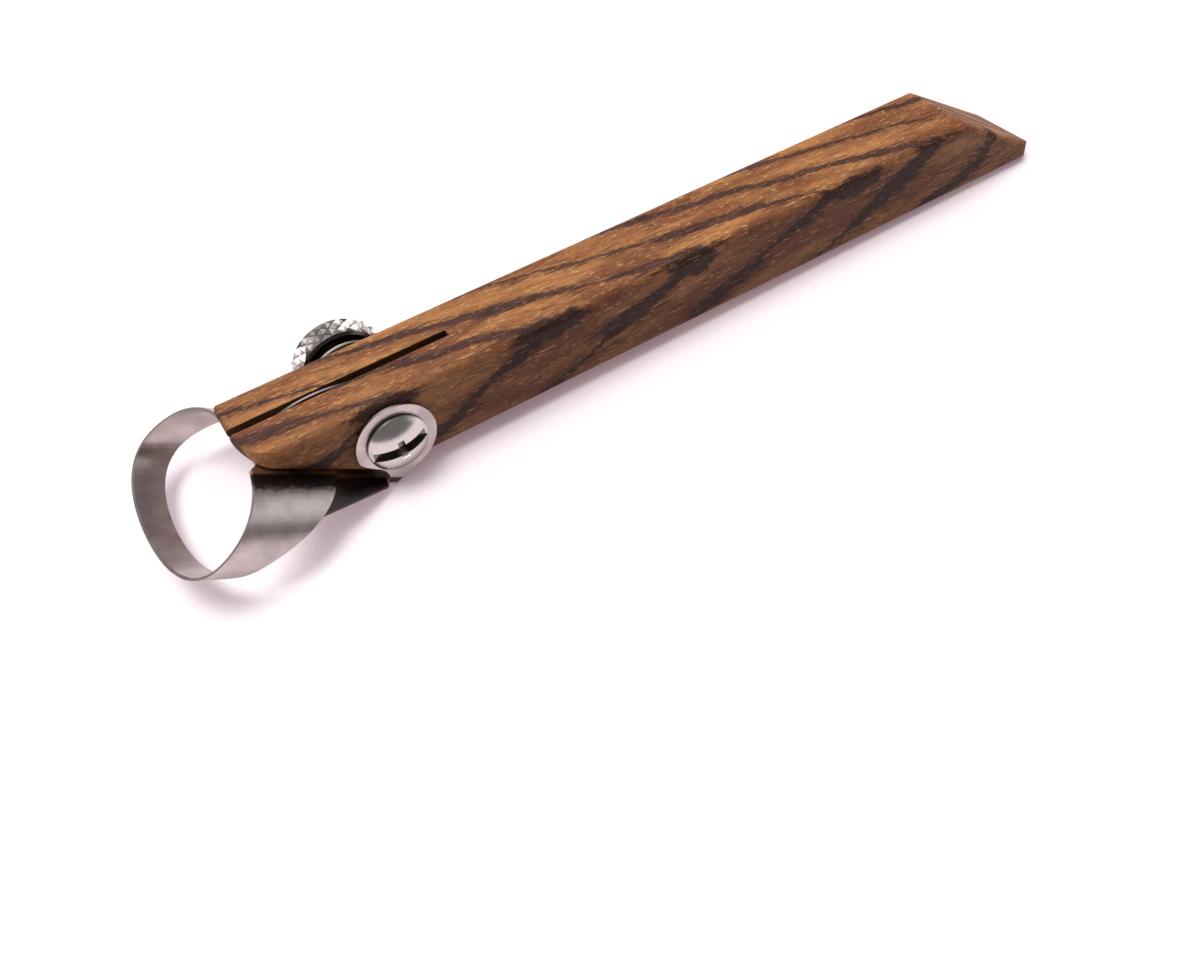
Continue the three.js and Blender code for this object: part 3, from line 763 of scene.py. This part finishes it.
def driver_cut():
    """What the slot and the cross recess take out of the head."""
    work = bmesh.new()
    above = -HEAD_HEIGHT - CUT_OVERRUN
    slot_floor = SLOT_DEPTH - HEAD_HEIGHT
    cross_floor = CROSS_DEPTH - HEAD_HEIGHT
    slot = HEAD_RADIUS + CUT_OVERRUN
    slot_half = SLOT_WIDTH / 2
    cross_half = CROSS_WIDTH / 2
    cross_foot_half = cross_half - CROSS_DRAFT
    add_block(work, (slot, slot_half), (slot, slot_half - SLOT_DRAFT), above, slot_floor)
    add_block(work, (cross_half, CROSS_REACH), (cross_foot_half, CROSS_FOOT), above, cross_floor)
    add_block(work, (CROSS_REACH, cross_half), (CROSS_FOOT, cross_foot_half), above, cross_floor)
    bmesh.ops.recalc_face_normals(work, faces=work.faces)
    return mesh_object("driver_cut", work)


def add_block(work, top, foot, top_along, foot_along):
    """A block that narrows from half sizes at one distance along the screw to others further in."""
    rings = []
    for (half_x, half_z), along in ((top, top_along), (foot, foot_along)):
        corners = ((-half_x, -half_z), (half_x, -half_z), (half_x, half_z), (-half_x, half_z))
        rings.append([work.verts.new((x, along, z)) for x, z in corners])
    low, high = rings
    work.faces.new(low)
    work.faces.new(high)
    for i in range(4):
        j = (i + 1) % 4
        work.faces.new((low[i], low[j], high[j], high[i]))


def mesh_object(name, work):
    """An object from mesh work in millimetres round the screw's axis."""
    mesh = bpy.data.meshes.new(name)
    work.to_mesh(mesh)
    work.free()
    axis = Matrix.Translation(Vector((SCREW_FROM_NOSE, HEAD_SEAT * MM, -SCREW_BELOW_TOP)))
    mesh.transform(TOOL @ axis @ Matrix.Rotation(SLOT_TURN, 4, "Y") @ Matrix.Scale(MM, 4))
    made = bpy.data.objects.new(name, mesh)
    bpy.context.scene.collection.objects.link(made)
    return made


def make_screw(material, group):
    screw = screw_body()
    cutter = driver_cut()
    boolean = screw.modifiers.new("driver", "BOOLEAN")
    boolean.operation = "DIFFERENCE"
    boolean.solver = "EXACT"
    boolean.use_self = True
    boolean.object = cutter
    shown = screw.evaluated_get(bpy.context.evaluated_depsgraph_get())
    cut_mesh = bpy.data.meshes.new_from_object(shown)
    screw.modifiers.clear()
    screw.data = cut_mesh
    bpy.data.objects.remove(cutter)
    screw.data.materials.clear()
    screw.data.materials.append(material)
    shade_smooth(screw, group)
    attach(screw, "clamp_screw")
    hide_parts("clamp_screw")


def make_tool():
    group = smoothing_group()
    steel = polished_steel()
    dress("handle", wood(), group)
    dress("ribbon_blade", brushed_steel(), group)
    dress("washer", steel, group)
    dress("thumb_nut", nickel(), group)
    make_screw(steel, group)


# Studio

ROOM_LIGHT = 0.08
ROOM_IN_METAL = 0.2
# Each soft box: the way it lies, the half angles where it is full and where it ends, its strength
SOFT_BOXES = (
    ((-0.1, 0.25, 0.95), 0.5, 0.95, 1.0),
    ((0.93, -0.28, 0.3), 0.2, 0.48, 1.1),
    ((-1.0, 0.0, 0.15), 0.15, 0.5, 0.45),
)
# The white sweep behind the object, told the same way
SWEEP = ((0.0, 1.0, 0.15), 0.3, 0.7, 1.0)
WHITE = (1.0, 1.0, 1.0, 1.0)
KEY_FROM = Vector((-0.2, 0.03, 1.0))
KEY_BREADTH = math.radians(30)
KEY_STRENGTH = 1.7
FLOOR_SIZE = 3.0
FLOOR_COLOUR = colour(247, 242, 244)
FLOOR_ROUGHNESS = 0.9
FLOOR_GLOW = 0.2
GLOW_COLOUR = colour(255, 218, 234)


def floor():
    mesh = bpy.data.meshes.new("floor")
    size = FLOOR_SIZE
    corners = [(-size, -size, 0), (size, -size, 0), (size, size, 0), (-size, size, 0)]
    mesh.from_pydata(corners, [], [(0, 1, 2, 3)])
    plane = bpy.data.objects.new("floor", mesh)
    bpy.context.scene.collection.objects.link(plane)
    s = Shader("pale_floor")
    s.set(Base_Color=FLOOR_COLOUR, Roughness=FLOOR_ROUGHNESS, Specular_IOR_Level=0.0)
    path = s.node("LightPath")
    seen = s.math("MAXIMUM", path.outputs["Is Camera Ray"], path.outputs["Is Glossy Ray"])
    seen = s.math("MAXIMUM", seen, path.outputs["Is Transmission Ray"])
    s.set(Emission_Color=GLOW_COLOUR, Emission_Strength=s.math("MULTIPLY", seen, FLOOR_GLOW))
    mesh.materials.append(s.material)


def soft_box(s, direction, box):
    facing, inner, outer, strength = box
    toward = s.vector("DOT_PRODUCT", direction, AXES @ Vector(facing).normalized())
    return s.step(toward, math.cos(outer), math.cos(inner), 0.0, strength)


def world():
    """Soft boxes in a dim room, and white where the camera looks past the floor.

    Metal mirrors a grey room, and the white only where the sweep stands, behind the object.
    """
    made = bpy.data.worlds.new("studio")
    bpy.context.scene.world = made
    made.use_nodes = True
    s = Nodes(made.node_tree)
    direction = s.node("TexCoord").outputs["Generated"]
    light = ROOM_LIGHT
    for box in SOFT_BOXES:
        light = s.math("ADD", light, soft_box(s, direction, box))
    path = s.node("LightPath")
    seen = s.math("MAXIMUM", path.outputs["Is Camera Ray"], path.outputs["Is Transmission Ray"])
    around_metal = s.math("MAXIMUM", soft_box(s, direction, SWEEP), ROOM_IN_METAL)
    mirrored = s.math("MULTIPLY", path.outputs["Is Glossy Ray"], around_metal)
    background = s.tree.nodes["Background"]
    background.inputs["Color"].default_value = WHITE
    strength = s.math("MAXIMUM", light, s.math("MAXIMUM", seen, mirrored))
    s.put(background.inputs["Strength"], strength)


def key_light():
    """A broad overhead light, so far off that the whole floor is equally bright."""
    data = bpy.data.lights.new("key", "SUN")
    data.energy = KEY_STRENGTH
    data.angle = KEY_BREADTH
    light = bpy.data.objects.new("key", data)
    bpy.context.scene.collection.objects.link(light)
    light.rotation_euler = (AXES @ -KEY_FROM).to_track_quat("-Z", "Y").to_euler()


def studio():
    bpy.context.scene.view_settings.view_transform = "Standard"
    floor()
    world()
    key_light()


make_camera()
make_tool()
studio()
